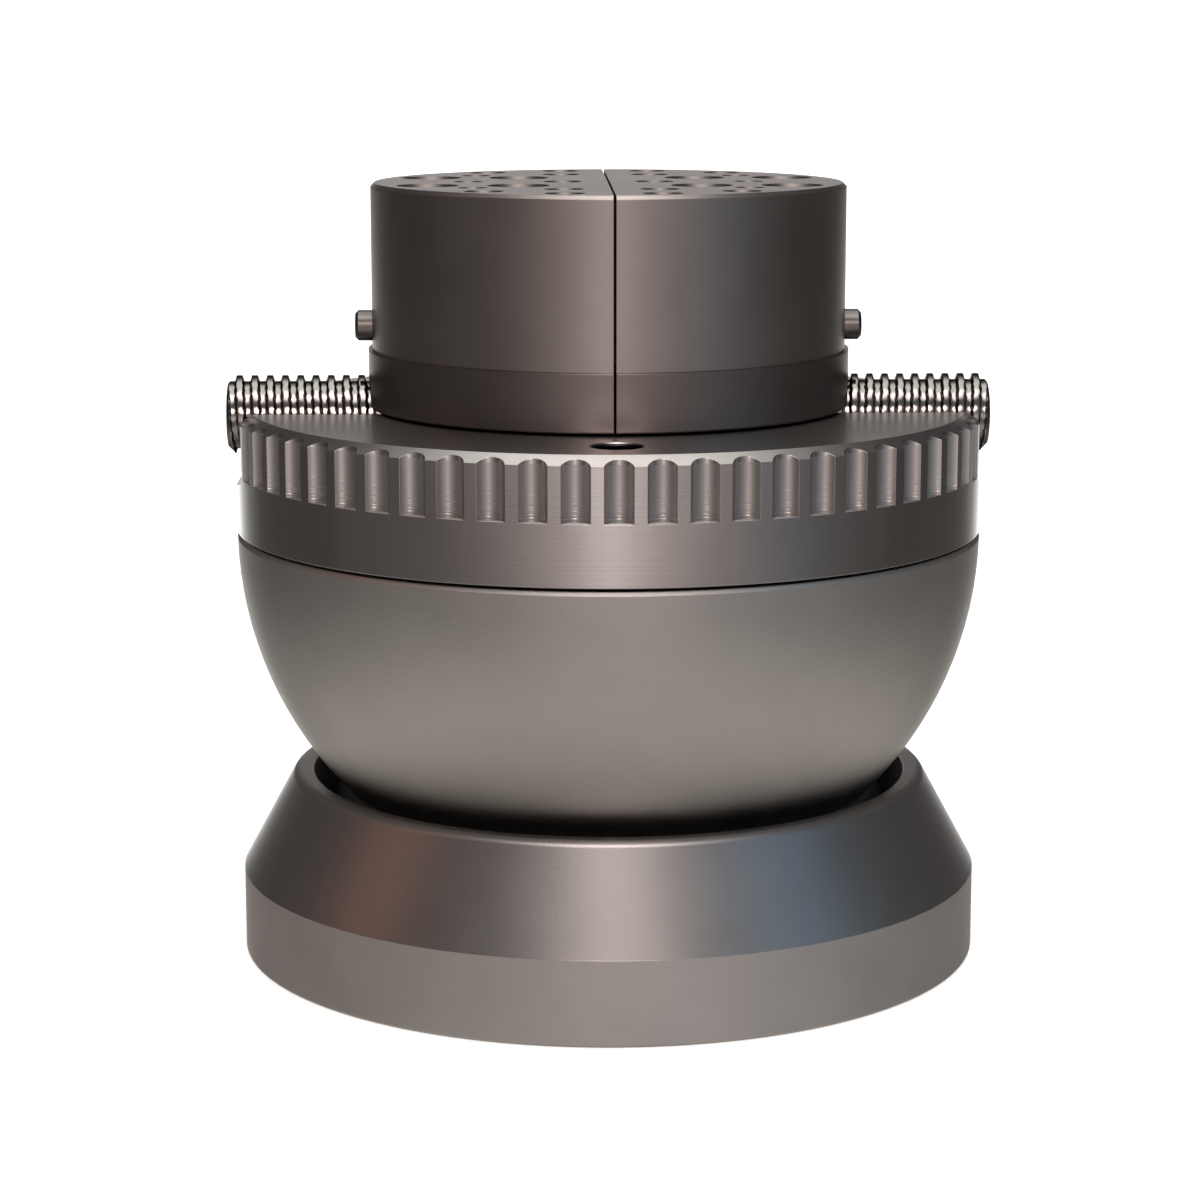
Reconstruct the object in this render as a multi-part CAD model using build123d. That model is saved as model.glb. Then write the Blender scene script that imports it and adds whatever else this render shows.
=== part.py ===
from build123d import *
import math
import os

# A 4 inch ball vise: a weighted base ring, a heavy half ball that tilts in it, a round head that
# turns on the ball, and two half-round jaws that a double-ended lead screw opens and closes.
# Millimetres. Z is up and Z = 0 is the bench. X runs along the lead screw and -Y is the front.

# ---- Fits and clearances ------------------------------------------------------------------
slip_fit = 0.02          # all round, between pieces that are fastened together
running_fit = 0.05       # radial, between pieces that turn or slide in each other
face_gap = 0.3           # between faces that pass each other
bearing_play = 0.1       # between a bearing's balls and its grooves
cage_play = 0.2          # between a bearing's balls and their cage

# ---- Ball ---------------------------------------------------------------------------------
ball_radius = 49.0       # the head and the base ring are turned to the same radius
ball_edge_width = 0.35   # steep chamfer round the flat top
ball_edge_drop = 0.5
bolt_hole_radius = 13.0  # opening at the bottom of the ball

# ---- Base ring, seat and pad --------------------------------------------------------------
base_floor = 5.1         # under the lowest point of the bowl
base_band_height = 11.0
base_edge = 0.4
rim_height = 24.0
rim_width = 2.22         # from the bowl's mouth to where the sloping shoulder meets the rim's level
rim_fillet = 1.5
rim_inner_edge = 0.3
bowl_gap = 2.1           # ball to bowl
seat_low_angle = 32.0    # the seat ring's lower and upper edge, degrees from straight down
seat_high_angle = 46.0
seat_groove_depth = 1.5
pad_inset = 5.0          # base's outside to the pad
pad_width = 16.0
pad_thickness = 1.2

# ---- Bearings: bore, outside, width, ball size and number ------------------------------------
upper_bore_radius = 12.5
upper_outer_radius = 23.5
upper_width = 12.0
upper_ball_radius = 3.3
lower_bore_radius = 8.5
lower_outer_radius = 17.5
lower_width = 10.0
lower_ball_radius = 2.4
bearing_balls = 9
race_share = 0.55        # slot beside the pitch circle, as a share of the ball's radius
cage_share = 0.3         # cage wall beside the pitch circle, as a share of the ball's radius
cage_margin = 0.8        # cage above and below its balls
shoulder_inset = 3.5     # step in the bore under the upper outer race
spacer_length = 8.0
spacer_foot = 1.5        # narrow stretch above the lower bearing, clear of its outer race
shoulder_inside = 1.7    # what bears on the inner races, inside their pitch circles

# ---- Clamp ring over the upper outer race --------------------------------------------------
clamp_recess = 0.5       # clamp ring below the ball's flat top
clamp_thickness = 4.0
clamp_seat_width = 9.5   # beyond the bearing
clamp_lip = 2.5          # over the outer race
clamp_screw_wall = 0.88  # from the screw heads to the ring's outside
clamp_screw_count = 6

# ---- Spindle, its washer and its bolt ------------------------------------------------------
flange_radius = 24.0
flange_thickness = 3.2
flange_screw_circle = 19.2
flange_screw_angle = 60.0
spindle_bolt_depth = 24.0
washer_radius = 12.0
washer_thickness = 2.5
bolt_radius = 4.0
bolt_length = 24.0
bolt_head_radius = 6.5
bolt_head_height = 8.0
bolt_key = 6.0
bolt_key_depth = 4.0

# ---- Countersunk screws --------------------------------------------------------------------
flat_screw_radius = 2.0
flat_head_radius = 3.8
flat_screw_length = 11.0
flat_key = 2.5
flat_key_depth = 1.4

# ---- Head ----------------------------------------------------------------------------------
head_gap = 0.4           # ball's flat top to the head's underside
head_height = 15.7
head_edge = 0.08
bevel_inset = 2.1
bevel_drop = 1.1
scallop_pitch = 6.0      # degrees
scallop_last = 12        # scallops each side of the front and the back one
scallop_radius = 1.9
scallop_depth = 1.25
scallop_height = 8.0
end_flat_inset = 1.5     # milled flats at both ends of the channel, in from the head's radius
end_flat_height = 8.5
end_slope = 2.0

# ---- Dovetail channel ----------------------------------------------------------------------
way_neck = 9.0           # half width at the head's top
way_depth = 7.8
way_angle = 25.0         # sides from the vertical, wider below

# ---- Lead screw and the yoke that keeps it central -----------------------------------------
screw_drop = 1.2         # the screw's axis below the head's top
screw_radius = 5.25
screw_stand_out = 2.5    # beyond the end flats
screw_tip = 1.0
thread_pitch = 2.0
thread_depth = 0.8
thread_crest = 0.4
thread_root = 0.5
journal_radius = 3.5
collar_end = 3.6         # from the centre
screw_key = 5.0
screw_key_depth = 6.0
yoke_thickness = 3.9
yoke_play = 0.1          # along the screw, each side
yoke_cap_roof = 1.3
yoke_cap_half = 5.0
yoke_ear_height = 2.4
yoke_screw_spread = 6.9
yoke_screw_radius = 1.0
yoke_screw_head = 1.7
yoke_screw_head_height = 2.0
yoke_screw_length = 13.0
yoke_key = 1.5
yoke_key_depth = 1.0

# ---- Jaw carriages -------------------------------------------------------------------------
parting_gap = 0.3
jaw_travel = 15.0        # each side
carriage_step = 0.5      # beyond the jaw block, all round
carriage_height = 7.4
carriage_edge = 0.25
tongue_start = 4.0
tongue_margin = 4.5      # tongue to the end flat with the jaws wide open
screw_room = 0.4         # round the lead screw in the carriage
yoke_room = 0.6          # round the yoke in the carriage
post_place = 22.5
post_radius = 3.5
post_height = 6.0
post_groove = 0.6

# ---- Jaw nuts ------------------------------------------------------------------------------
nut_start = 5.0
nut_length = 12.0
nut_half_width = 6.6
nut_floor_gap = 0.4
nut_flange_half = 12.0
nut_flange_thickness = 3.0
nut_screw_spread = 9.4
nut_screw_margin = 3.0
nut_screw_radius = 1.25
nut_screw_head = 2.3
nut_screw_length = 6.5
nut_key = 1.5
nut_key_depth = 0.9

# ---- Jaw blocks, their dowels and set screws -----------------------------------------------
jaw_radius = 31.0
jaw_height = 21.6
jaw_edge = 0.5
pin_depth = 13.0
pin_radius = 2.0
pin_edge = 0.5
small_pin_radius = 1.5
small_pin_edge = 0.4
stud_radius = 3.5
stud_edge = 0.5
pin_column = 6.0
pin_rows = (0.0, 17.0, 26.0)
outer_pin_place = (16.0, 21.5)
small_pin_place = (17.5, 14.0)
middle_pin_column = 18.3
stud_columns = (11.7, 23.3)
stud_row = 9.0
dowel_place = (13.0, 20.0)
dowel_radius = 2.0
dowel_depth = 5.0
set_screw_radius = 2.0
set_screw_rise = 2.9     # its axis above the foot of the jaw block
set_screw_proud = 2.2
set_screw_edge = 0.4
set_screw_point = 0.4
set_key = 2.0
set_key_depth = 1.5

# ---- Brake screw and plug ------------------------------------------------------------------
brake_inset = 9.5        # its axis from the head's outside
brake_radius = 3.0
brake_hole_edge = 0.4
brake_recess = 2.5
brake_screw_length = 8.0
brake_key = 3.0
brake_key_depth = 3.5

# ---- Radii, heights and places that follow -------------------------------------------------
head_radius = ball_radius
base_radius = ball_radius
bowl_radius = ball_radius + bowl_gap
ball_height = base_floor + bowl_radius    # the sphere's centre, and the ball's flat top
mouth_radius = math.sqrt(bowl_radius ** 2 - (ball_height - rim_height) ** 2)
rim_radius = mouth_radius + rim_width
pad_outer_radius = base_radius - pad_inset
pad_inner_radius = pad_outer_radius - pad_width
clamp_outer_radius = upper_outer_radius + clamp_seat_width
clamp_inner_radius = upper_outer_radius - clamp_lip
clamp_screw_circle = clamp_outer_radius - clamp_screw_wall - slip_fit - flat_head_radius
clamp_top = ball_height - clamp_recess
upper_high = clamp_top - clamp_thickness
upper_low = upper_high - upper_width
lower_high = upper_low - spacer_length
lower_low = lower_high - lower_width
flange_low = clamp_top + face_gap
flange_high = flange_low + flange_thickness
head_low = ball_height + head_gap
head_top = head_low + head_height
scallop_low = head_top - scallop_height
end_flat = head_radius - end_flat_inset
end_flat_low = head_top - end_flat_height
way_floor = head_top - way_depth
screw_height = head_top - screw_drop
screw_half_length = end_flat + screw_stand_out
brake_place = head_radius - brake_inset
carriage_radius = jaw_radius + carriage_step
carriage_low = head_top + face_gap
carriage_top = carriage_low + carriage_height
jaw_top = carriage_top + jaw_height
set_screw_height = carriage_top + set_screw_rise
tongue_end = end_flat - jaw_travel - tongue_margin
nut_low = way_floor + nut_floor_gap
nut_end = nut_start + nut_length
shoulder_radius = (upper_bore_radius + upper_outer_radius) / 2 - shoulder_inside
foot_radius = (lower_bore_radius + lower_outer_radius) / 2 - shoulder_inside


# ---- Plain shapes --------------------------------------------------------------------------
def disc(radius, low, high, x=0.0, y=0.0):
    """An upright cylinder between two heights."""
    place = Pos(x, y, low)
    return place * Cylinder(radius, high - low, align=(Align.CENTER, Align.CENTER, Align.MIN))


def ring(outer, inner, low, high):
    """An upright tube about Z."""
    return disc(outer, low, high) - disc(inner, low - 1, high + 1)


def block(x_range, y_range, z_range):
    """A box between two corners."""
    size = [high - low for low, high in (x_range, y_range, z_range)]
    corner = Pos(x_range[0], y_range[0], z_range[0])
    return corner * Box(*size, align=(Align.MIN, Align.MIN, Align.MIN))


def rod(radius, start, end, height, y=0.0):
    """A cylinder along X between two places."""
    upright = Cylinder(radius, end - start, align=(Align.CENTER, Align.CENTER, Align.MIN))
    return Pos(start, y, height) * Rot(0, 90, 0) * upright


def turned(points):
    """A solid turned about Z from a closed outline of (radius, height) points."""
    with BuildSketch(Plane.XZ) as section:
        with BuildLine():
            Polyline(*points, close=True)
        make_face()
    return revolve(section.sketch, Axis.Z)


def along_x(points, start, end):
    """A bar along X from a closed outline of (y, height) points."""
    with BuildSketch(Plane.YZ.offset(start)) as section:
        with BuildLine():
            Polyline(*points, close=True)
        make_face()
    return extrude(section.sketch, end - start)


def cone(low_radius, high_radius, low, high, x=0.0, y=0.0):
    """An upright cone between two heights."""
    solid = Cone(low_radius, high_radius, high - low, align=(Align.CENTER, Align.CENTER, Align.MIN))
    return Pos(x, y, low) * solid


def hexagon(width, low, high, x=0.0, y=0.0):
    """An upright hexagonal key hole, by its width across flats."""
    with BuildSketch(Plane.XY.offset(low)) as section:
        with Locations((x, y)):
            RegularPolygon(width / 2, 6, major_radius=False)
    return extrude(section.sketch, high - low)


def on_ball(radius, angle):
    """The (radius, height) of a point about the ball's centre, by its angle from straight down."""
    turn = math.radians(angle)
    return radius * math.sin(turn), ball_height - radius * math.cos(turn)


def zone(inner, outer, low_angle, high_angle):
    """A ring between two spheres about the ball's centre and two angles from straight down."""
    middle = (low_angle + high_angle) / 2
    with BuildSketch(Plane.XZ) as section:
        with BuildLine():
            ThreePointArc(on_ball(inner, low_angle), on_ball(inner, middle), on_ball(inner, high_angle))
            Line(on_ball(inner, high_angle), on_ball(outer, high_angle))
            ThreePointArc(on_ball(outer, high_angle), on_ball(outer, middle), on_ball(outer, low_angle))
            Line(on_ball(outer, low_angle), on_ball(inner, low_angle))
        make_face()
    return revolve(section.sketch, Axis.Z)


def mirrored(solid):
    """The same piece on the other jaw."""
    return mirror(solid, about=Plane.YZ)


def flat_head_screw(radius, head, top, length, key, key_depth, x, y):
    """A countersunk socket screw with its head flush at a height, pointing down."""
    head_drop = head - radius
    shank = disc(radius, top - length, top, x, y)
    screw = shank + cone(radius, head, top - head_drop, top, x, y)
    return screw - hexagon(key, top - key_depth, top + 1, x, y)


def flat_head_hole(radius, head, top, length, x, y):
    """The countersunk hole that the screw above fits."""
    head_drop = head - radius
    hole = disc(radius + slip_fit, top - length - slip_fit, top + 1, x, y)
    sink = cone(radius + slip_fit, head + slip_fit, top - head_drop, top, x, y)
    return hole + sink + disc(head + slip_fit, top, top + 1, x, y)


def ring_places(circle, count, first=0.0):
    """Points evenly spaced on a circle, from an angle in degrees."""
    turns = [math.radians(first + 360 * step / count) for step in range(count)]
    return [(circle * math.cos(turn), circle * math.sin(turn)) for turn in turns]


# ---- Base ------------------------------------------------------------------------------------
def make_base_pad():
    return ring(pad_outer_radius, pad_inner_radius, 0, pad_thickness)


def make_base_ring():
    """The turned ring with a bowl about the ball's centre, a groove for the seat and one below."""
    outline = [(0, 0), (base_radius - base_edge, 0), (base_radius, base_edge),
               (base_radius, base_band_height), (rim_radius, rim_height), (0, rim_height)]
    body = turned(outline)
    shoulder = body.edges().filter_by(GeomType.CIRCLE).sort_by(Axis.Z)[-1]
    body = fillet(shoulder, rim_fillet)
    body -= Pos(0, 0, ball_height) * Sphere(bowl_radius)
    mouth = body.edges().filter_by(GeomType.CIRCLE).filter_by_position(Axis.Z, rim_height, rim_height)
    body = chamfer(mouth.sort_by(SortBy.RADIUS)[0], rim_inner_edge)
    groove = bowl_radius + seat_groove_depth
    body -= zone(bowl_radius - 1, groove, seat_low_angle, seat_high_angle)
    recess = ring(pad_outer_radius + slip_fit, pad_inner_radius - slip_fit, -1, pad_thickness)
    return body - recess


def make_seat_ring():
    """The plastic ring that turns in the bowl's groove and bears on the ball."""
    outer = bowl_radius + seat_groove_depth - running_fit
    side = math.degrees(face_gap / 2 / outer)
    return zone(ball_radius + running_fit, outer, seat_low_angle + side, seat_high_angle - side)


# ---- Ball and bearings -----------------------------------------------------------------------
def make_ball():
    """The half ball, bored from the top for the clamp ring, both bearings and the bolt."""
    low_angle = math.degrees(math.asin(bolt_hole_radius / ball_radius))
    high_angle = 90 - math.degrees(math.asin(ball_edge_drop / ball_radius))
    clamp_wall = clamp_outer_radius + slip_fit
    upper_wall = upper_outer_radius + slip_fit
    lower_wall = lower_outer_radius + slip_fit
    middle_wall = upper_outer_radius - shoulder_inset
    inside = [on_ball(ball_radius, high_angle), (ball_radius - ball_edge_width, ball_height),
              (clamp_wall, ball_height), (clamp_wall, upper_high), (upper_wall, upper_high),
              (upper_wall, upper_low), (middle_wall, upper_low), (middle_wall, lower_high),
              (lower_wall, lower_high), (lower_wall, lower_low), (bolt_hole_radius, lower_low),
              on_ball(ball_radius, low_angle)]
    with BuildSketch(Plane.XZ) as section:
        with BuildLine():
            Polyline(*inside)
            ThreePointArc(inside[-1], on_ball(ball_radius, (low_angle + high_angle) / 2), inside[0])
        make_face()
    body = revolve(section.sketch, Axis.Z)
    for x, y in ring_places(clamp_screw_circle, clamp_screw_count):
        body -= disc(flat_screw_radius + slip_fit, clamp_top - flat_screw_length - 1, clamp_top, x, y)
    return body


def make_bearing(bore, outside, width, low, ball):
    """Outer race, inner race, cage and balls of a ball bearing that stands on a height."""
    pitch = (bore + outside) / 2
    slot = ball * race_share
    wall = ball * cage_share
    middle = low + width / 2
    groove = Pos(0, 0, middle) * Torus(pitch, ball + bearing_play)
    outer_race = ring(outside, pitch + slot, low, low + width) - groove
    inner_race = ring(pitch - slot, bore, low, low + width) - groove
    cage_half = ball + cage_margin
    cage = ring(pitch + wall, pitch - wall, middle - cage_half, middle + cage_half)
    balls = []
    for step in range(bearing_balls):
        turn = Rot(0, 0, 360 / bearing_balls * step)
        cage -= turn * rod(ball + cage_play, pitch - wall - 1, pitch + wall + 1, middle)
        balls.append(turn * Pos(pitch, 0, middle) * Sphere(ball))
    return outer_race, inner_race, cage, Compound(children=balls)


def make_bearing_spacer():
    """The sleeve between the inner races, with a narrow foot so that it clears the lower outer race."""
    bore = lower_bore_radius + slip_fit
    step = lower_high + spacer_foot
    return ring(foot_radius, bore, lower_high, step) + ring(shoulder_radius, bore, step, upper_low)


def make_clamp_ring():
    body = ring(clamp_outer_radius, clamp_inner_radius, upper_high, clamp_top)
    for x, y in ring_places(clamp_screw_circle, clamp_screw_count):
        body -= flat_head_hole(flat_screw_radius, flat_head_radius, clamp_top, flat_screw_length, x, y)
    return body


def make_clamp_ring_screws():
    places = ring_places(clamp_screw_circle, clamp_screw_count)
    return Compound(children=[
        flat_head_screw(flat_screw_radius, flat_head_radius, clamp_top, flat_screw_length,
                        flat_key, flat_key_depth, x, y) for x, y in places])


# ---- Spindle ----------------------------------------------------------------------------------
def flange_places():
    """The four flange screws, clear of the channel above them."""
    turn = math.radians(flange_screw_angle)
    x, y = flange_screw_circle * math.cos(turn), flange_screw_circle * math.sin(turn)
    return [(x, y), (-x, y), (-x, -y), (x, -y)]


def upside_down(solid, height):
    """A piece turned over about a level."""
    return mirror(solid, about=Plane.XY.offset(height))


def flange_screw_hole(x, y):
    hole = flat_head_hole(flat_screw_radius, flat_head_radius, flange_low, flat_screw_length, x, y)
    return upside_down(hole, flange_low)


def make_spindle():
    """The flanged shaft: a seat for each inner race and a threaded hole from below."""
    upper_seat = upper_bore_radius - slip_fit
    lower_seat = lower_bore_radius - slip_fit
    foot = lower_low + face_gap
    step = upper_low + face_gap
    outline = [(0, foot), (lower_seat, foot), (lower_seat, step), (upper_seat, step),
               (upper_seat, upper_high), (shoulder_radius, upper_high), (shoulder_radius, flange_low),
               (flange_radius, flange_low), (flange_radius, flange_high), (0, flange_high)]
    body = turned(outline)
    body -= disc(bolt_radius + slip_fit, foot - 1, foot + spindle_bolt_depth)
    for x, y in flange_places():
        body -= flange_screw_hole(x, y)
    return body


def make_spindle_screws():
    screws = []
    for x, y in flange_places():
        screw = flat_head_screw(flat_screw_radius, flat_head_radius, flange_low, flat_screw_length,
                                flat_key, flat_key_depth, x, y)
        screws.append(upside_down(screw, flange_low))
    return Compound(children=screws)


def make_retaining_washer():
    return ring(washer_radius, bolt_radius + running_fit, lower_low - washer_thickness, lower_low)


def make_retaining_bolt():
    head_high = lower_low - washer_thickness
    head_base = head_high - bolt_head_height
    body = disc(bolt_head_radius, head_base, head_high)
    body += disc(bolt_radius, head_high, head_high + bolt_length)
    return body - hexagon(bolt_key, head_base - 1, head_base + bolt_key_depth)


# ---- Head -------------------------------------------------------------------------------------
def way_outline(neck, low, high, side_fit):
    """The dovetail's outline: its neck is at the head's top, and it widens downwards."""
    lean = math.tan(math.radians(way_angle))

    def half(height):
        return neck + (head_top - height) * lean - side_fit
    return [(-half(low), low), (half(low), low), (half(high), high), (-half(high), high)]


def scallops():
    """The grip's scallops: upright cuts on an even pitch, left out beside the end flats."""
    centre = head_radius - scallop_depth + scallop_radius
    cuts = []
    for middle in (-90, 90):
        for step in range(-scallop_last, scallop_last + 1):
            turn = math.radians(middle + step * scallop_pitch)
            x, y = centre * math.cos(turn), centre * math.sin(turn)
            cuts.append(disc(scallop_radius, scallop_low, head_top + 1, x, y))
    return cuts


def end_cut():
    """What is milled off at +X: the flat and the slope below it."""
    reach = head_radius + end_slope
    points = [(end_flat, head_top + 1), (end_flat, end_flat_low),
              (end_flat + end_slope, end_flat_low - end_slope), (reach, end_flat_low - end_slope),
              (reach, head_top + 1)]
    with BuildSketch(Plane.XZ) as section:
        with BuildLine():
            Polyline(*points, close=True)
        make_face()
    return extrude(section.sketch, head_radius, both=True)


def make_head():
    """The round head with its grip, bevel, channel, spindle seat and brake hole."""
    recess = flange_radius + slip_fit
    outline = [(0, flange_high), (recess, flange_high), (recess, head_low),
               (head_radius - head_edge, head_low), (head_radius, head_low + head_edge),
               (head_radius, head_top - bevel_drop), (head_radius - bevel_inset, head_top), (0, head_top)]
    body = turned(outline)
    body -= scallops()
    body -= end_cut()
    body -= mirrored(end_cut())
    body -= along_x(way_outline(way_neck, way_floor, head_top + 1, 0), -head_radius - 1, head_radius + 1)
    for x, y in flange_places():
        body -= flange_screw_hole(x, y)
    for side in (-1, 1):
        y = side * yoke_screw_spread
        body -= disc(yoke_screw_radius + slip_fit, yoke_screw_foot() - 1, way_floor + 1, 0, y)
    body -= disc(brake_radius + running_fit, head_low - 1, head_top + 1, 0, -brake_place)
    body -= cone(brake_radius + running_fit, brake_radius + running_fit + brake_hole_edge,
                 head_top - brake_hole_edge, head_top, 0, -brake_place)
    return body


# ---- Lead screw and yoke ------------------------------------------------------------------------
def thread_outline():
    """(place, radius) points of the ridges at one side, from the journal to just past the tip."""
    root_radius = screw_radius - thread_depth
    flank = (thread_pitch - thread_crest - thread_root) / 2
    neck = yoke_thickness / 2 + yoke_play
    points = [(neck, journal_radius), (neck, screw_radius), (collar_end, screw_radius)]
    ridges = math.ceil((screw_half_length - collar_end) / thread_pitch)
    for ridge in range(ridges):
        start = collar_end + ridge * thread_pitch
        points.append((start + flank, root_radius))
        points.append((start + flank + thread_root, root_radius))
        points.append((start + thread_pitch - thread_crest, screw_radius))
        points.append((start + thread_pitch, screw_radius))
    return points


def make_lead_screw():
    """The screw with its thread as ridges, a journal in the middle and a key hole in each end."""
    half = thread_outline()
    reach = half[-1][0]
    outline = [(-place, radius) for place, radius in reversed(half)] + half
    with BuildSketch(Plane.XZ) as section:
        with BuildLine():
            Polyline((-reach, 0), *outline, (reach, 0), close=True)
        make_face()
    body = revolve(section.sketch, Axis.X)
    stock = rod(screw_radius + screw_tip, -screw_half_length, screw_half_length, 0)
    stock = chamfer(stock.edges().filter_by(GeomType.CIRCLE), 2 * screw_tip)
    body = body & stock
    key = Rot(0, 90, 0) * hexagon(screw_key, screw_half_length - screw_key_depth, screw_half_length + 1)
    body = body - key - mirrored(key)
    return Pos(0, 0, screw_height) * body


def yoke_screw_foot():
    return screw_height + yoke_ear_height - yoke_screw_length


def yoke_screw_hole(y):
    return disc(yoke_screw_radius + slip_fit, yoke_screw_foot() - 1, screw_height + yoke_ear_height + 1, 0, y)


def yoke_drill():
    """The journal's bore and both screws' holes, cut from the yoke and its cap alike."""
    bore = rod(journal_radius + running_fit, -yoke_thickness, yoke_thickness, screw_height)
    return bore + yoke_screw_hole(-yoke_screw_spread) + yoke_screw_hole(yoke_screw_spread)


def make_screw_yoke():
    half = yoke_thickness / 2
    body = along_x(way_outline(way_neck, way_floor, screw_height, slip_fit), -half, half)
    return body - yoke_drill()


def make_yoke_cap():
    half = yoke_thickness / 2
    ear = screw_height + yoke_ear_height
    roof = screw_height + journal_radius + running_fit + yoke_cap_roof
    ear_half = way_neck - slip_fit
    outline = [(-ear_half, screw_height), (ear_half, screw_height), (ear_half, ear), (yoke_cap_half, ear),
               (yoke_cap_half, roof), (-yoke_cap_half, roof), (-yoke_cap_half, ear), (-ear_half, ear)]
    return along_x(outline, -half, half) - yoke_drill()


def make_yoke_screws():
    screws = []
    ear = screw_height + yoke_ear_height
    for side in (-1, 1):
        y = side * yoke_screw_spread
        screw = disc(yoke_screw_radius, yoke_screw_foot(), ear, 0, y)
        screw += disc(yoke_screw_head, ear, ear + yoke_screw_head_height, 0, y)
        top = ear + yoke_screw_head_height
        screws.append(screw - hexagon(yoke_key, top - yoke_key_depth, top + 1, 0, y))
    return Compound(children=screws)


# ---- Jaws: everything here is the right-hand one, and the left one is its mirror image --------
def half_disc(radius, low, high):
    side = block((parting_gap / 2, radius + 1), (-radius - 1, radius + 1), (low, high))
    return disc(radius, low, high) & side


def nut_screw_places():
    near, far = nut_start + nut_screw_margin, nut_end - nut_screw_margin
    return [(x, side * nut_screw_spread) for x in (near, far) for side in (-1, 1)]


def nut_block(grow):
    """The nut's body with its flange, or with a slip fit the pocket for it."""
    length = (nut_start - grow, nut_end + grow)
    width = nut_half_width + grow
    ear = nut_flange_half + grow
    body = block(length, (-width, width), (nut_low - grow, carriage_top))
    return body + block(length, (-ear, ear), (carriage_top - nut_flange_thickness, carriage_top))


def make_jaw_nut():
    """The bronze nut: it runs on the screw and hangs in the carriage by its screwed flange."""
    body = nut_block(0) - rod(screw_radius + running_fit, nut_start - 1, nut_end + 1, screw_height)
    for x, y in nut_screw_places():
        body -= flat_head_hole(nut_screw_radius, nut_screw_head, carriage_top, nut_screw_length, x, y)
    return body


def make_nut_screws():
    return Compound(children=[
        flat_head_screw(nut_screw_radius, nut_screw_head, carriage_top, nut_screw_length,
                        nut_key, nut_key_depth, x, y) for x, y in nut_screw_places()])


def dowel_places():
    x, y = dowel_place
    return [(x, -y), (x, y)]


def make_jaw_dowels():
    low, high = carriage_top - dowel_depth, carriage_top + dowel_depth
    return Compound(children=[disc(dowel_radius, low, high, x, y) for x, y in dowel_places()])


def dowel_holes():
    low, high = carriage_top - dowel_depth, carriage_top + dowel_depth
    return [disc(dowel_radius + slip_fit, low - slip_fit, high + slip_fit, x, y) for x, y in dowel_places()]


def make_jaw_carriage():
    """The jaw's lower slice, with the dovetail tongue below it and the post on top."""
    body = half_disc(carriage_radius, carriage_low, carriage_top)
    rim = body.edges().filter_by(GeomType.CIRCLE).sort_by(Axis.Z)[0]
    body = chamfer(rim, carriage_edge)
    tongue = way_outline(way_neck, way_floor + face_gap, head_top, running_fit)
    body += along_x(tongue, tongue_start, tongue_end)
    neck = way_neck - running_fit
    body += block((tongue_start, tongue_end), (-neck, neck), (head_top, carriage_low))
    body -= nut_block(slip_fit)
    body -= block((0, nut_start), (-nut_half_width, nut_half_width), (way_floor, screw_height))
    body -= rod(screw_radius + screw_room, -1, carriage_radius + 1, screw_height)
    ear = way_neck + yoke_room
    roof = screw_height + journal_radius + yoke_cap_roof + yoke_room
    body -= block((0, yoke_thickness / 2 + yoke_room), (-ear, ear), (head_top, roof))
    post_high = carriage_top + post_height
    post = disc(post_radius, carriage_top, post_high, post_place)
    waist = post_radius - post_groove
    mouth = set_screw_radius + post_groove
    groove = disc(post_radius + 1, set_screw_height - mouth, set_screw_height + mouth, post_place)
    groove -= cone(post_radius, waist, set_screw_height - mouth, set_screw_height, post_place)
    groove -= cone(waist, post_radius, set_screw_height, set_screw_height + mouth, post_place)
    body += post - groove
    body -= dowel_holes()
    foot = carriage_top - nut_screw_length - slip_fit
    for x, y in nut_screw_places():
        body -= disc(nut_screw_radius + slip_fit, foot, carriage_top, x, y)
    return body


def drilled(radius, edge, x, y):
    """A blind hole in the jaw's top with a chamfered mouth."""
    hole = disc(radius, jaw_top - pin_depth, jaw_top + 1, x, y)
    return hole + cone(radius, radius + edge, jaw_top - edge, jaw_top, x, y)


def jaw_top_holes():
    """The jaw top's pattern: a column by the parting line, an outer group, and four large holes."""
    holes = []
    for row in pin_rows:
        for side in ((1,) if row == 0 else (-1, 1)):
            holes.append(drilled(pin_radius, pin_edge, pin_column, side * row))
    for side in (-1, 1):
        holes.append(drilled(pin_radius, pin_edge, outer_pin_place[0], side * outer_pin_place[1]))
        holes.append(drilled(small_pin_radius, small_pin_edge, small_pin_place[0], side * small_pin_place[1]))
        for column in stud_columns:
            holes.append(drilled(stud_radius, stud_edge, column, side * stud_row))
    holes.append(drilled(small_pin_radius, small_pin_edge, middle_pin_column, 0))
    return holes


def make_jaw():
    """The half-round jaw block: drilled on top, and bored below for the post and dowels."""
    body = half_disc(jaw_radius, carriage_top, jaw_top)
    rim = body.edges().filter_by(GeomType.CIRCLE).sort_by(Axis.Z)[-1]
    body = chamfer(rim, jaw_edge)
    body -= jaw_top_holes()
    body -= disc(post_radius + slip_fit, carriage_top - 1, carriage_top + post_height + face_gap, post_place)
    body -= dowel_holes()
    body -= rod(set_screw_radius + slip_fit, post_place, jaw_radius + 1, set_screw_height)
    return body


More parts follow.
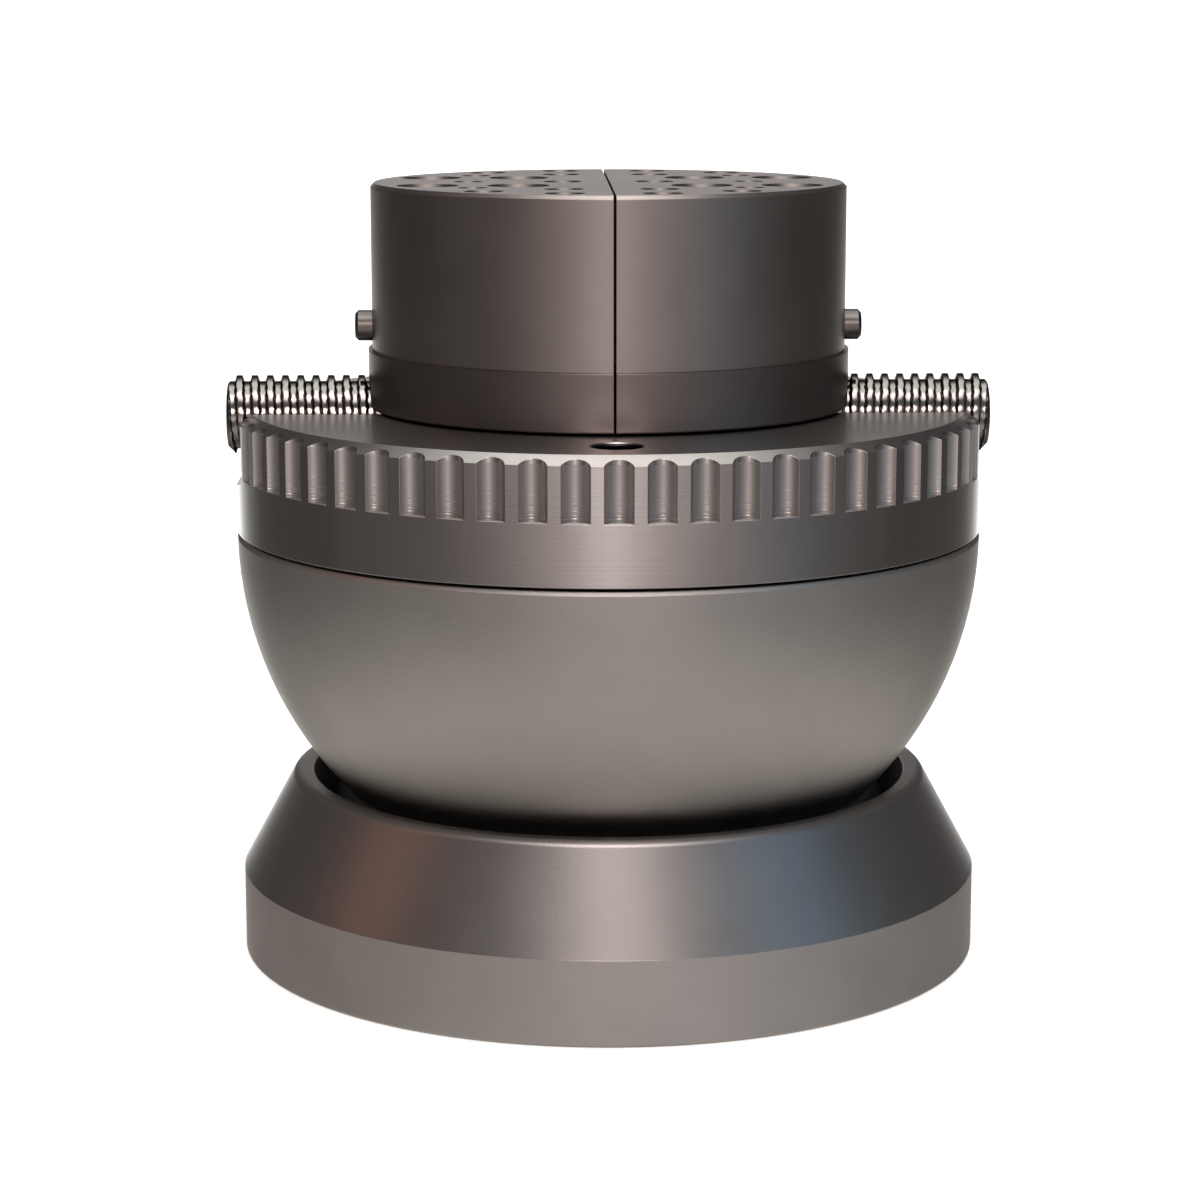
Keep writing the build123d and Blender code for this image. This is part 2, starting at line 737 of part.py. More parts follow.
def make_jaw_set_screw():
    """The set screw through the jaw's outer wall, with its tip in the post's groove."""
    groove_rise = post_groove * set_screw_point / (set_screw_radius + post_groove)
    tip = post_place + post_radius - post_groove + groove_rise + slip_fit
    end = jaw_radius + set_screw_proud
    body = rod(set_screw_radius, tip + set_screw_radius, end, set_screw_height)
    ends = body.edges().filter_by(GeomType.CIRCLE).sort_by(Axis.X)
    body = chamfer(ends[-1], set_screw_edge)
    point = cone(set_screw_point, set_screw_radius, tip, tip + set_screw_radius)
    body += Pos(0, 0, set_screw_height) * Rot(0, 90, 0) * point
    key = Rot(0, 90, 0) * hexagon(set_key, end - set_key_depth, end + 1)
    return body - Pos(0, 0, set_screw_height) * key


# ---- Brake -------------------------------------------------------------------------------------
def make_brake_plug():
    """The nylon plug under the brake screw, just clear of the ball's flat top."""
    return disc(brake_radius, ball_height + face_gap, brake_screw_low(), 0, -brake_place)


def brake_screw_low():
    return head_top - brake_recess - brake_screw_length


def make_brake_screw():
    high = head_top - brake_recess
    body = disc(brake_radius, brake_screw_low(), high, 0, -brake_place)
    return body - hexagon(brake_key, high - brake_key_depth, high + 1, 0, -brake_place)


# ---- The whole vise ------------------------------------------------------------------------------
def make_vise():
    """Every piece by its name."""
    pieces = {
        "base_pad": make_base_pad(),
        "base_ring": make_base_ring(),
        "seat_ring": make_seat_ring(),
        "ball": make_ball(),
        "bearing_spacer": make_bearing_spacer(),
        "clamp_ring": make_clamp_ring(),
        "clamp_ring_screws": make_clamp_ring_screws(),
        "spindle": make_spindle(),
        "spindle_screws": make_spindle_screws(),
        "retaining_washer": make_retaining_washer(),
        "retaining_bolt": make_retaining_bolt(),
        "head": make_head(),
        "lead_screw": make_lead_screw(),
        "screw_yoke": make_screw_yoke(),
        "yoke_cap": make_yoke_cap(),
        "yoke_screws": make_yoke_screws(),
        "brake_plug": make_brake_plug(),
        "brake_screw": make_brake_screw(),
    }
    bearings = {
        "upper": (upper_bore_radius, upper_outer_radius, upper_width, upper_low, upper_ball_radius),
        "lower": (lower_bore_radius, lower_outer_radius, lower_width, lower_low, lower_ball_radius),
    }
    for level, sizes in bearings.items():
        for kind, solid in zip(("outer_race", "inner_race", "cage", "balls"), make_bearing(*sizes)):
            pieces[f"{level}_{kind}"] = solid
    jaw_pieces = {
        "jaw": make_jaw(),
        "jaw_carriage": make_jaw_carriage(),
        "jaw_nut": make_jaw_nut(),
        "nut_screws": make_nut_screws(),
        "jaw_dowels": make_jaw_dowels(),
        "jaw_set_screw": make_jaw_set_screw(),
    }
    for kind, solid in jaw_pieces.items():
        pieces[f"right_{kind}"] = solid
        pieces[f"left_{kind}"] = mirrored(solid)
    return pieces


os.makedirs("parts", exist_ok=True)
for name, solid in make_vise().items():
    export_step(solid, f"parts/{name}.step")
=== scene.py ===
# %% [markdown]
# # Dressing a ball vise
#
# A ball vise holds a small workpiece for engraving. A heavy half ball tilts in a weighted ring, a
# round head turns on the ball, and a double-ended lead screw opens and closes two half-round jaws.
# The shapes that fit and move come from the CAD model. This lesson gives them their finishes, makes
# the few surfaces that a smooth formula describes better, and sets up a camera and soft light.
#
# Everything is in metres. Z is up, X runs along the lead screw and -Y is the front.

# %% Open the frame
import math

import bpy
import numpy as np
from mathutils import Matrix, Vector


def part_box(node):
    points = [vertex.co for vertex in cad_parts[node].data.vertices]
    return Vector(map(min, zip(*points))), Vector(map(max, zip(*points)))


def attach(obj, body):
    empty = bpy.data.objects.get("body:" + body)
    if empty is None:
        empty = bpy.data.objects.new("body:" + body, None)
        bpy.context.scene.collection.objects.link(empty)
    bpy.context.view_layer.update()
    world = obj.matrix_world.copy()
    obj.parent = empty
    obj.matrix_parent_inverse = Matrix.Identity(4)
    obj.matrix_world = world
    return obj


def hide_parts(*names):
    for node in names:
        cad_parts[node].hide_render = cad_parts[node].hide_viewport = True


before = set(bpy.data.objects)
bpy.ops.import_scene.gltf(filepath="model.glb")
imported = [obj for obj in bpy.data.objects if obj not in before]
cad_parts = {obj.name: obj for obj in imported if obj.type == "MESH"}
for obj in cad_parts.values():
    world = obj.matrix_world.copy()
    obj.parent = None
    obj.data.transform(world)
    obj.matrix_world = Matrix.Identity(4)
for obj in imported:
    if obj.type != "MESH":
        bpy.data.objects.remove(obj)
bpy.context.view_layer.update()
MM = 0.001
MICRON = 0.000001
NANOMETRE = 0.000000001

# %% [markdown]
# ## The camera
#
# The photograph was taken from close by and a little above, with a long lens. Its place was found by
# fitting a pinhole camera to the rims of the base, the head and the jaws. A pinhole camera needs only
# a place, two angles and a focal length. The focal length is given in pixels of a 1200 pixel picture,
# and the sensor's width turns it into millimetres. The lens is shifted a little to the side, because
# the vise doesn't stand exactly in the middle of the picture.

# %% Place the camera
PICTURE_WIDTH = 1200
FOCAL_PIXELS = 3168
OBJECT_RIGHT_PIXELS = 8.5
SENSOR_WIDTH_MM = 36.0
CAMERA_DISTANCE = 0.416
CAMERA_HEIGHT = 0.1248
CAMERA_PITCH = math.radians(10.72)
CAMERA_TURN = math.radians(1.49)


def make_camera():
    """Put the camera on a circle about the vise, looking back at its axis and a little down."""
    data = bpy.data.cameras.new("camera")
    data.sensor_width = SENSOR_WIDTH_MM
    data.lens = FOCAL_PIXELS / PICTURE_WIDTH * data.sensor_width
    data.shift_x = -OBJECT_RIGHT_PIXELS / PICTURE_WIDTH
    camera = bpy.data.objects.new("camera", data)
    back = Vector((-math.sin(CAMERA_TURN), -math.cos(CAMERA_TURN), 0))
    camera.location = back * CAMERA_DISTANCE + Vector((0, 0, CAMERA_HEIGHT))
    camera.rotation_euler = (math.radians(90) - CAMERA_PITCH, 0, -CAMERA_TURN)
    bpy.context.scene.collection.objects.link(camera)
    bpy.context.scene.camera = camera
    return camera


camera = make_camera()
bpy.context.scene.view_settings.view_transform = "Standard"
print(f"lens {camera.data.lens:.1f} mm, camera at {tuple(round(v, 3) for v in camera.location)}")

# %% [markdown]
# ## Helpers for shader nodes
#
# A material or a sky is a small graph of nodes. One helper adds a node, sets its options and fills its
# sockets, either with a number or with the output of another node. It keeps every finish below short.


# %% Add shader nodes
def add(tree, kind, settings=None, sockets=None):
    """Add one shader node; a socket's value is a number, a colour or another node's output."""
    node = tree.nodes.new("ShaderNode" + kind)
    for name, value in (settings or {}).items():
        setattr(node, name, value)
    for name, value in (sockets or {}).items():
        if isinstance(value, bpy.types.NodeSocket):
            tree.links.new(value, node.inputs[name])
        else:
            node.inputs[name].default_value = value
    return node


def math_node(tree, operation, first, second=0.0):
    """One arithmetic step on two numbers."""
    return add(tree, "Math", {"operation": operation}, {0: first, 1: second}).outputs[0]


def vector_node(tree, operation, first, second=(0.0, 0.0, 0.0)):
    """One step on two vectors or colours."""
    return add(tree, "VectorMath", {"operation": operation}, {0: first, 1: second})


def summed(tree, first, second):
    """Two vectors or colours added up."""
    return vector_node(tree, "ADD", first, second).outputs[0]


def scaled(tree, colour, factor):
    """A vector or colour times a number."""
    return add(tree, "VectorMath", {"operation": "SCALE"}, {0: colour, "Scale": factor}).outputs[0]


def share_along(tree, direction, axis):
    """The share of a direction that lies along an axis."""
    return vector_node(tree, "DOT_PRODUCT", direction, axis).outputs["Value"]


def squared(tree, value):
    """A number times itself."""
    return math_node(tree, "MULTIPLY", value, value)


# %% [markdown]
# ## Meshes from formulas
#
# The floor, the base and the lead screw are all round things, so each is a grid: its rows follow a
# profile and its columns go round an axis. numpy works out all the points at once, and joining each
# point to its neighbours gives the faces. Spinning an edge with a modifier would give the same shape,
# but a formula also says exactly which way the surface faces.


# %% Join a grid into a mesh
def grid_mesh(name, points, normals=None):
    """Join a (rows, columns, 3) grid of points into quads; the last column joins the first.

    A first or last row that has shrunk to a point becomes one vertex with a fan of triangles.
    """
    rows, columns = points.shape[:2]
    number = np.arange(rows * columns).reshape(rows, columns)
    for end in (0, rows - 1):
        if np.ptp(points[end], axis=0).max() < NANOMETRE:
            number[end] = number[end, 0]
    low, high = number[:-1], number[1:]
    quads = np.stack([low, np.roll(low, -1, axis=1), np.roll(high, -1, axis=1), high], axis=-1)
    used, compact = np.unique(quads.reshape(-1, 4), return_inverse=True)
    faces = [list(dict.fromkeys(face)) for face in compact.reshape(-1, 4).tolist()]
    mesh = bpy.data.meshes.new(name)
    mesh.from_pydata(points.reshape(-1, 3)[used].tolist(), [], faces)
    mesh.shade_smooth()
    if normals is not None:
        mesh.normals_split_custom_set_from_vertices(normals.reshape(-1, 3)[used].tolist())
    mesh.validate()
    return mesh


# %% Carry a profile round the axis
def revolved_mesh(name, profile, turns):
    """Carry a (radius, height) profile round Z: x = r cos a, y = r sin a, z = z, on a grid.

    The normal at each point is square to the line between its two neighbours in the profile, so a
    long straight stretch stays flat right up to the small round beside it.
    """
    profile = np.asarray(profile, float)
    angle = np.linspace(0, 2 * np.pi, turns, endpoint=False)
    onward = np.gradient(profile, axis=0)
    outward = np.stack([onward[:, 1], -onward[:, 0]], axis=1)
    outward /= np.linalg.norm(outward, axis=1, keepdims=True)

    def carried(pairs):
        return np.stack([pairs[:, :1] * np.cos(angle), pairs[:, :1] * np.sin(angle),
                         np.broadcast_to(pairs[:, 1:], (len(pairs), turns))], axis=-1)
    return grid_mesh(name, carried(profile), normals=carried(outward))


# %% [markdown]
# ## The floor
#
# The photograph is a cut-out on white. A flat disc that curves up into a wall all round has no
# horizon, so its pale paper fills the whole picture, and a soft shadow can still fall on it. The metal
# doesn't mirror it: the sky's lower half stands for the table there.

# %% Make the floor and its backdrop
FLOOR_FLAT = 1.6
WALL_CURVE = 0.9
WALL_HEIGHT = 1.8
FLOOR_STEPS, FLOOR_TURNS = 24, 96
PAPER_COLOUR = (0.86, 0.86, 0.85, 1)
PAPER_GLOW = (0.95, 0.96, 0.96, 1)
PAPER_VALUES = {"Roughness": 0.9, "Specular IOR Level": 0.1, "Emission Strength": 0.45}


def pale_paper():
    """Dull white paper with a faint glow of its own."""
    material = bpy.data.materials.new("pale_paper")
    material.use_nodes = True
    shader = material.node_tree.nodes["Principled BSDF"]
    shader.inputs["Base Color"].default_value = PAPER_COLOUR
    shader.inputs["Emission Color"].default_value = PAPER_GLOW
    for name, value in PAPER_VALUES.items():
        shader.inputs[name].default_value = value
    return material


def make_floor():
    """A flat disc that curves up into a wall: a quarter circle joins the two."""
    turn = np.linspace(0, np.pi / 2, FLOOR_STEPS)
    curve = np.stack([FLOOR_FLAT + WALL_CURVE * np.sin(turn), WALL_CURVE * (1 - np.cos(turn))], axis=1)
    top = [[FLOOR_FLAT + WALL_CURVE, WALL_HEIGHT]]
    profile = np.concatenate([[[0.0, 0.0]], curve, top])
    floor = bpy.data.objects.new("studio_floor", revolved_mesh("studio_floor", profile, FLOOR_TURNS))
    bpy.context.scene.collection.objects.link(floor)
    floor.visible_glossy = False
    floor.data.materials.append(pale_paper())
    return floor


floor = make_floor()
print("floor is", 2 * (FLOOR_FLAT + WALL_CURVE), "m wide")

# %% [markdown]
# ## The light
#
# Polished metal shows its surroundings more than itself, so the light is planned by what each surface
# mirrors. The upright walls look out level and a little down, the sloping shoulder of the base looks
# up at 40 degrees, and every small chamfer looks at the ceiling. Lamps would have to be moved one by
# one until their reflections sit right. Here the sky is a sum of soft oval lights instead, each placed
# by two angles where the surfaces that show it look.

# %% Shape the sky that the metal mirrors
# Turn from the front and rise in degrees, half width and half height as the sine of their angle,
# softness of the edge, and colour times brightness
SOFT, CRISP = 1, 2
GLOWS = (
    (0, 20, 0.145, 0.15, CRISP, (11.3, 8.85, 7.95)),    # pink window ahead
    (0, 16, 0.42, 0.36, SOFT, (0.375, 0.34, 0.34)),     # the wall round it
    (-1, -8, 0.14, 0.12, SOFT, (0.59, 0.56, 0.57)),     # the window's glint on the table
    (0, -4, 0.60, 0.18, SOFT, (0.83, 0.70, 0.66)),      # the far end of the table
    (0, -62, 0.55, 0.40, CRISP, (0.19, 0.17, 0.15)),    # the table at the vise's foot
    (0, 92, 0.36, 0.62, CRISP, (2.0, 1.92, 1.8)),       # ceiling lamp
    (0, 65, 0.24, 0.28, CRISP, (3.3, 2.8, 2.7)),        # its near end
    (180, 62, 0.50, 0.20, SOFT, (0.23, 0.235, 0.24)),   # its light high on the back wall
    (-88, 34, 0.10, 0.22, SOFT, (0.85, 0.33, 0.19)),    # warm lamp at the left
    (66, 33, 0.24, 0.35, SOFT, (0.14, 0.27, 0.385)),    # cool screen at the right
    (45, 12, 0.30, 0.30, SOFT, (0.19, 0.25, 0.33)),     # the screen's light on the wall
    (180, -14, 0.30, 0.12, SOFT, (7.2, 7.2, 7.0)),      # white table behind
    (180, 4, 0.22, 0.07, CRISP, (1.22, 1.16, 1.14)),    # white paper behind
    (180, 11, 0.30, 0.10, SOFT, (0.19, 0.19, 0.19)),    # the paper's light above it
)
TABLE_RISE = -42
TABLE_SPREAD = 0.26
TABLE_LIGHT = (0.61, 0.566, 0.51)
ROOM_LIGHT = (0.074, 0.069, 0.068)


def bell(tree, value):
    """e to the minus value: 1 in the middle of a light and 0 far outside it."""
    return math_node(tree, "EXPONENT", math_node(tree, "MULTIPLY", value, -1.0))


def glow(tree, direction, turn, rise, width, height, edge, colour):
    """A soft oval light: (x / width)^2 + (y / height)^2, seen square on, goes through the bell.

    A crisp light squares that sum first, so it stays even in its middle and ends sooner.
    """
    a, e = math.radians(turn), math.radians(rise)
    ahead = (math.sin(a) * math.cos(e), -math.cos(a) * math.cos(e), math.sin(e))
    right = (math.cos(a), math.sin(a), 0.0)
    up = (-math.sin(a) * math.sin(e), math.cos(a) * math.sin(e), math.cos(e))
    across = squared(tree, math_node(tree, "DIVIDE", share_along(tree, direction, right), width))
    upward = squared(tree, math_node(tree, "DIVIDE", share_along(tree, direction, up), height))
    away = math_node(tree, "ADD", across, upward)
    if edge == CRISP:
        away = squared(tree, away)
    seen = math_node(tree, "GREATER_THAN", share_along(tree, direction, ahead), 0.0)
    return scaled(tree, colour, math_node(tree, "MULTIPLY", bell(tree, away), seen))


def make_sky():
    """Add up the room's faint light, the table's belt of light and all the glows."""
    world = bpy.data.worlds.new("studio_sky")
    bpy.context.scene.world = world
    world.use_nodes = True
    tree = world.node_tree
    tree.nodes.clear()
    direction = add(tree, "TexCoord").outputs["Generated"]
    height = share_along(tree, direction, (0.0, 0.0, 1.0))
    off_belt = math_node(tree, "SUBTRACT", height, math.sin(math.radians(TABLE_RISE)))
    belt = bell(tree, squared(tree, math_node(tree, "DIVIDE", off_belt, TABLE_SPREAD)))
    total = summed(tree, ROOM_LIGHT, scaled(tree, TABLE_LIGHT, belt))
    for row in GLOWS:
        total = summed(tree, total, glow(tree, direction, *row))
    shade = add(tree, "Background", None, {"Color": total, "Strength": 1.0})
    return add(tree, "OutputWorld", None, {"Surface": shade.outputs[0]})


make_sky()
print("soft lights in the sky:", len(GLOWS))

# %% [markdown]
# ## What machining leaves on metal
#
# A turned surface keeps fine rings from the tool, a blasted one a fine even grain, and both vary a
# little in clouds a finger wide. All three are noise, read at different scales and along different
# directions. Rings come from noise that only sees the distance from the axis and the height, so it is
# the same all the way round. Every pattern reads Object coordinates in metres, so it stays in place.


# %% Find the point that is being shaded
def place_of(tree):
    """The point in the model's own metres."""
    return add(tree, "TexCoord").outputs["Object"]


def flat_place_of(tree):
    """The point with its height left out."""
    return vector_node(tree, "MULTIPLY", place_of(tree), (1.0, 1.0, 0.0)).outputs[0]


def away_and_height(tree):
    """Distance from Z and height of the point, both in metres."""
    away = add(tree, "VectorMath", {"operation": "LENGTH"}, {0: flat_place_of(tree)}).outputs["Value"]
    return away, add(tree, "SeparateXYZ", None, {0: place_of(tree)}).outputs["Z"]


# %% Patterns
def turning_marks(tree, pitch):
    """Noise of (distance from Z, height) over the pitch: the same all the way round the axis."""
    away, height = away_and_height(tree)
    turned = add(tree, "CombineXYZ", None, {"X": away, "Y": height}).outputs[0]
    return add(tree, "TexNoise", {"noise_dimensions": "2D"},
               {"Vector": turned, "Scale": 1 / pitch, "Detail": 3.0, "Roughness": 0.65}).outputs["Fac"]


def grain(tree, size, detail=2.0):
    """Even noise with spots of about the given size."""
    return add(tree, "TexNoise", None, {"Vector": place_of(tree), "Scale": 1 / size, "Detail": detail,
                                        "Roughness": 0.6}).outputs["Fac"]


def uneven_number(tree, size, low, high):
    """A number that drifts between two values in soft clouds."""
    clouds = grain(tree, size)
    return add(tree, "MapRange", None, {"Value": clouds, "To Min": low, "To Max": high}).outputs["Result"]


def uneven_colour(tree, size, colour, spread):
    """The colour made a little darker and lighter in soft clouds."""
    node = add(tree, "ValToRGB", None, {"Fac": grain(tree, size, 3.0)})
    node.color_ramp.interpolation = "EASE"
    for element, place, share in zip(node.color_ramp.elements, (0.3, 0.7), (1 - spread, 1 + spread)):
        element.position = place
        element.color = (*(channel * share for channel in colour), 1.0)
    return node.outputs["Color"]


# %% [markdown]
# ## A metal to start from
#
# Every finish starts as the same shader: a metal with a slightly uneven colour and roughness. Then the
# bumps of its patterns are stacked on the normal, which is the direction that the surface seems to
# face. The Bevel node softens sharp CAD edges first, so that they catch a thin line of light as real
# broken edges do. A true round on every edge would need a new mesh for each piece.

# %% Start a metal and give it relief
CLOUD = 20 * MM
LEAN = 0.9


def new_metal(name, colour, roughness, spread=0.05, cloud=CLOUD, metallic=1.0):
    """A metal with a colour and a roughness that drift; returns the material, its tree and its shader."""
    material = bpy.data.materials.new(name)
    material.use_nodes = True
    tree = material.node_tree
    shader = tree.nodes["Principled BSDF"]
    shader.inputs["Metallic"].default_value = metallic
    tree.links.new(uneven_colour(tree, cloud, colour, spread), shader.inputs["Base Color"])
    tree.links.new(uneven_number(tree, cloud, *roughness), shader.inputs["Roughness"])
    return material, tree, shader


def leaning_out(tree, normal, mask):
    """Where the mask is 1, the normal plus LEAN times the way out from Z, made one long again."""
    outward = vector_node(tree, "NORMALIZE", flat_place_of(tree)).outputs[0]
    leaning = summed(tree, normal, scaled(tree, outward, math_node(tree, "MULTIPLY", mask, LEAN)))
    return vector_node(tree, "NORMALIZE", leaning).outputs[0]


def relief(tree, shader, heights, edge=0.0, ledge=None):
    """Stack (pattern, depth) bumps on the shader, over edges softened by a small radius.

    A ledge is a mask: where it is 1, the surface faces outward as well, like a broken edge.
    """
    normal = add(tree, "Bevel", {"samples": 4}, {"Radius": edge}).outputs[0] if edge else None
    if ledge is not None:
        normal = leaning_out(tree, normal, ledge)
    for pattern, depth in heights:
        sockets = {"Height": pattern, "Distance": depth, "Strength": 1.0}
        if normal is not None:
            sockets["Normal"] = normal
        normal = add(tree, "Bump", None, sockets).outputs[0]
    tree.links.new(normal, shader.inputs["Normal"])


# %% [markdown]
# ## Masks: where one finish ends and the next begins
#
# The head, the base and the jaws show more than one finish each, because a cutter or a blast went over
# some of their surfaces after the lathe. A second material could be given to those faces, but a mask
# is simpler on a turned part. It is a number that is 1 where the point's distance from the axis and
# its height lie between two limits, and 0 elsewhere.


# %% Masks
def below(tree, value, limit):
    """1 under the limit, else 0."""
    return math_node(tree, "LESS_THAN", value, limit)


def above(tree, value, limit):
    """1 over the limit, else 0."""
    return math_node(tree, "GREATER_THAN", value, limit)


def both(tree, first, second):
    """1 where both masks are 1."""
    return math_node(tree, "MULTIPLY", first, second)


def between(tree, value, low, high):
    """1 between the two limits, else 0."""
    return both(tree, above(tree, value, low), below(tree, value, high))


def choose(tree, mask, elsewhere, inside):
    """One number where the mask is 0, the other where it is 1."""
    return add(tree, "Mix", None, {"Factor": mask, "A": elsewhere, "B": inside}).outputs[0]


def roughen(tree, shader, mask, roughness):
    """Give the shader another roughness where the mask is 1."""
    before = shader.inputs["Roughness"].links[0].from_socket
    tree.links.new(choose(tree, mask, before, roughness), shader.inputs["Roughness"])


def tone(tree, shader, mask, share):
    """Scale the shader's colour by a share where the mask is 1."""
    before = shader.inputs["Base Color"].links[0].from_socket
    tree.links.new(scaled(tree, before, choose(tree, mask, 1.0, share)), shader.inputs["Base Color"])


# %% [markdown]
# ## The head's steel
#
# The head is dark steel turned on a lathe, and its wall mirrors the window as a crisp bright stripe.
# Its grip scallops are milled and duller, with the cutter's steps near their feet, where the flat
# little ledge catches light on its worn edge. The top is turned too, but a shade duller than the wall.
# The hole of the brake screw gets painted shade inside, and only the rim of its chamfer shines.

# %% Turned head steel
head_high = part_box("head")[1]
brake_low, brake_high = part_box("brake_screw")
HEAD_RADIUS = head_high.y
HEAD_TOP = head_high.z
BEVEL_LOW = HEAD_TOP - 1.1 * MM
SCALLOP_LOW = HEAD_TOP - 8.0 * MM
SCALLOP_INSET = 0.06 * MM
LEDGE_INSET = 0.03 * MM
LEDGE_HALF = 0.03 * MM
ON_FACE = 0.02 * MM
MARKS_REACH = 4.5 * MM
MARKS_PITCH = 0.3 * MM
BRAKE_PLACE = (brake_low + brake_high) / 2
BRAKE_HOLE = (brake_high.x - brake_low.x) / 2 + 0.28 * MM
HEAD_COLOUR = (0.465, 0.45, 0.44)
HEAD_WALL_ROUGHNESS = (0.17, 0.22)
SCALLOP_ROUGHNESS, HEAD_TOP_ROUGHNESS, LEDGE_ROUGHNESS = 0.40, 0.31, 0.6
SCALLOP_TONE, BRAKE_HOLE_PAINTED_SHADE = 1.15, 0.06


def cutter_steps(tree, height, milled):
    """Steps along the height, only in the scallops, growing from nothing to full at their feet."""
    near_foot = add(tree, "MapRange", None, {"Value": height, "From Min": SCALLOP_LOW + MARKS_REACH,
                                             "From Max": SCALLOP_LOW}).outputs[0]
    steps = add(tree, "TexNoise", {"noise_dimensions": "1D"},
                {"W": height, "Scale": 1 / MARKS_PITCH, "Detail": 1.0}).outputs["Fac"]
    return both(tree, both(tree, steps, near_foot), milled)


def turned_steel():
    """The head: a crisp wall, duller scallops and top, and painted shade in the brake screw's hole."""
    metal, tree, shader = new_metal("turned_head_steel", HEAD_COLOUR, HEAD_WALL_ROUGHNESS)
    away, height = away_and_height(tree)
    milled = both(tree, below(tree, away, HEAD_RADIUS - SCALLOP_INSET),
                  between(tree, height, SCALLOP_LOW + ON_FACE, BEVEL_LOW))
    ledge = both(tree, below(tree, away, HEAD_RADIUS - LEDGE_INSET),
                 between(tree, height, SCALLOP_LOW - LEDGE_HALF, SCALLOP_LOW + LEDGE_HALF))
    roughen(tree, shader, milled, SCALLOP_ROUGHNESS)
    roughen(tree, shader, above(tree, height, HEAD_TOP - ON_FACE), HEAD_TOP_ROUGHNESS)
    roughen(tree, shader, ledge, LEDGE_ROUGHNESS)
    tone(tree, shader, milled, SCALLOP_TONE)
    # Painted shade: inside the brake screw's hole the head's colour is made nearly black.
    from_screw = vector_node(tree, "DISTANCE", flat_place_of(tree), (*BRAKE_PLACE.xy, 0.0)).outputs["Value"]
    tone(tree, shader, below(tree, from_screw, BRAKE_HOLE), BRAKE_HOLE_PAINTED_SHADE)
    relief(tree, shader, [(turning_marks(tree, 0.3 * MM), 6 * MICRON), (grain(tree, 0.3 * MM), 3 * MICRON),
                          (cutter_steps(tree, height, milled), 90 * MICRON)], edge=0.12 * MM, ledge=ledge)
    return metal


# %% [markdown]
# ## The ball's and the base's steel
#
# The ball is blasted to a fine even grain, so it hardly mirrors anything and shades softly like chalk.
# The base has a satin shoulder, where the window, a warm lamp and a cool screen show as blurred
# stripes, above a dull blasted band. Its bowl's colour is made nearly black, as painted shade.

# %% Blasted ball steel and satin base steel
BALL_COLOUR = (0.565, 0.55, 0.53)
BALL_ROUGHNESS = (0.45, 0.53)
BASE_COLOUR = (0.485, 0.47, 0.46)
SHOULDER_ROUGHNESS = (0.35, 0.41)
BAND_ROUGHNESS = (0.63, 0.69)
BOWL_ROUGHNESS = 0.6
BAND_TONE, BOWL_PAINTED_SHADE = 1.42, 0.08
BLAST_GRAIN = 0.35 * MM
BAND_HEIGHT = 11.0 * MM
BOWL_MOUTH = 39.5 * MM
BOWL_FLOOR = 4.0 * MM


def blasted_steel():
    """The ball: one even blasted surface."""
    metal, tree, shader = new_metal("blasted_ball_steel", BALL_COLOUR, BALL_ROUGHNESS, cloud=18 * MM)
    relief(tree, shader, [(grain(tree, BLAST_GRAIN), 20 * MICRON)], edge=0.15 * MM)
    return metal


def satin_steel():
    """The base: a satin shoulder above a dull band, and painted shade in the bowl."""
    metal, tree, shader = new_metal("satin_base_steel", BASE_COLOUR, SHOULDER_ROUGHNESS)
    away, height = away_and_height(tree)
    on_band = below(tree, height, BAND_HEIGHT)
    in_bowl = both(tree, below(tree, away, BOWL_MOUTH), above(tree, height, BOWL_FLOOR))
    roughen(tree, shader, on_band, uneven_number(tree, CLOUD, *BAND_ROUGHNESS))
    roughen(tree, shader, in_bowl, BOWL_ROUGHNESS)
    tone(tree, shader, on_band, BAND_TONE)
    # Painted shade: the bowl's colour is made nearly black.
    tone(tree, shader, in_bowl, BOWL_PAINTED_SHADE)
    relief(tree, shader, [(grain(tree, BLAST_GRAIN), 12 * MICRON)])
    return metal


# %% [markdown]
# ## The jaws' steel and the chrome
#
# The jaws and the carriages under them are hardened steel with a warm dark skin, and the edges of the
# holes in the jaws' tops get painted shade, darker than the ground face. The lead screw is plated bright.
# Chrome
# mirrors its surroundings almost sharply, so its roughness is low, and the dark room makes it look
# dark between the lights. Its tint at a glancing view is held down, or its outline would glare.

# %% Dark jaw steel and chrome
jaw_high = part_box("left_jaw")[1]
JAW_TOP = jaw_high.z
JAW_RADIUS = jaw_high.y
HOLES_INSET = 0.8 * MM
HOLES_EDGE_LOW = 2 * MM
HOLES_EDGE_HIGH = 0.01 * MM
HOLES_PAINTED_SHADE = 0.53
CHROME_COLOUR = (0.27, 0.262, 0.255)
CHROME_ROUGHNESS = (0.04, 0.08)
CHROME_GLANCING = (0.35, 0.35, 0.36, 1)


def dark_steel(name, colour, roughness):
    """The jaws and their carriages, with painted shade in the holes' edges."""
    metal, tree, shader = new_metal(name, colour, roughness, spread=0.06)
    away, height = away_and_height(tree)
    in_holes = both(tree, below(tree, away, JAW_RADIUS - HOLES_INSET),
                    between(tree, height, JAW_TOP - HOLES_EDGE_LOW, JAW_TOP - HOLES_EDGE_HIGH))
    # Painted shade: the colour inside the jaws' holes, below their top face, is scaled down.
    tone(tree, shader, in_holes, HOLES_PAINTED_SHADE)
    relief(tree, shader, [(turning_marks(tree, 0.5 * MM), 3 * MICRON), (grain(tree, 0.3 * MM), 4 * MICRON)],
           edge=0.2 * MM)
    return metal


def chrome():
    """The lead screw: bright plated steel."""
    metal, tree, shader = new_metal("bright_chrome", CHROME_COLOUR, CHROME_ROUGHNESS,
                                    spread=0.02, cloud=10 * MM)
    shader.inputs["Specular Tint"].default_value = CHROME_GLANCING
    relief(tree, shader, [(grain(tree, 0.4 * MM), 1 * MICRON)])
    return metal
